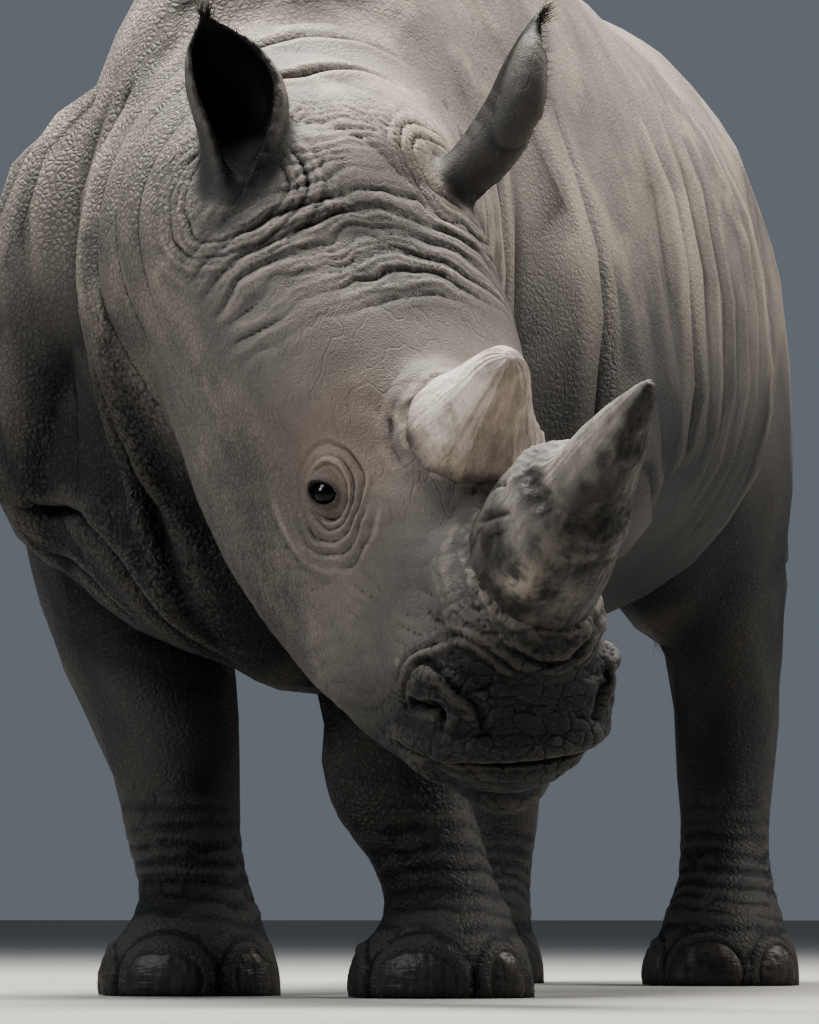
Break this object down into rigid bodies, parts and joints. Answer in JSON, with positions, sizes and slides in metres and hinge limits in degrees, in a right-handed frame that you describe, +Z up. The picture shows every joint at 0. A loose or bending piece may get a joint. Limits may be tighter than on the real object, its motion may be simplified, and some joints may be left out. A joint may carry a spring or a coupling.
{
  "type": "rhinoceros",
  "caption": "Standing white rhinoceros, life size, head lowered and turned to its left, with blunt rear horn and pointed front horn; a still model without joints.",
  "frame": {"origin": "on the floor, under the middle of the model's box", "axes": "+Z up, the animal's body faces -Y, its left side is +X"},
  "size_m": [1.2742, 3.3478, 1.7207],
  "materials": {
    "hide": "wrinkled, dusty, matt",
    "horn": "fibrous keratin, satin",
    "nail": "worn keratin, matt",
    "eye": "wet, glossy"
  },
  "bodies": {
    "root": {"ear_left": "hide", "ear_right": "hide", "eye_left": "eye", "eye_right": "eye", "head": "hide", "horn_front": "horn", "horn_rear": "horn", "leg_front_left": "hide", "leg_front_right": "hide", "leg_hind_left": "hide", "leg_hind_right": "hide", "nail_front_left_inner": "nail", "nail_front_left_middle": "nail", "nail_front_left_outer": "nail", "nail_front_right_inner": "nail", "nail_front_right_middle": "nail", "nail_front_right_outer": "nail", "nail_hind_left_inner": "nail", "nail_hind_left_middle": "nail", "nail_hind_left_outer": "nail", "nail_hind_right_inner": "nail", "nail_hind_right_middle": "nail", "nail_hind_right_outer": "nail", "neck": "hide", "tail": "hide", "trunk": "hide"}
  },
  "joints": []
}
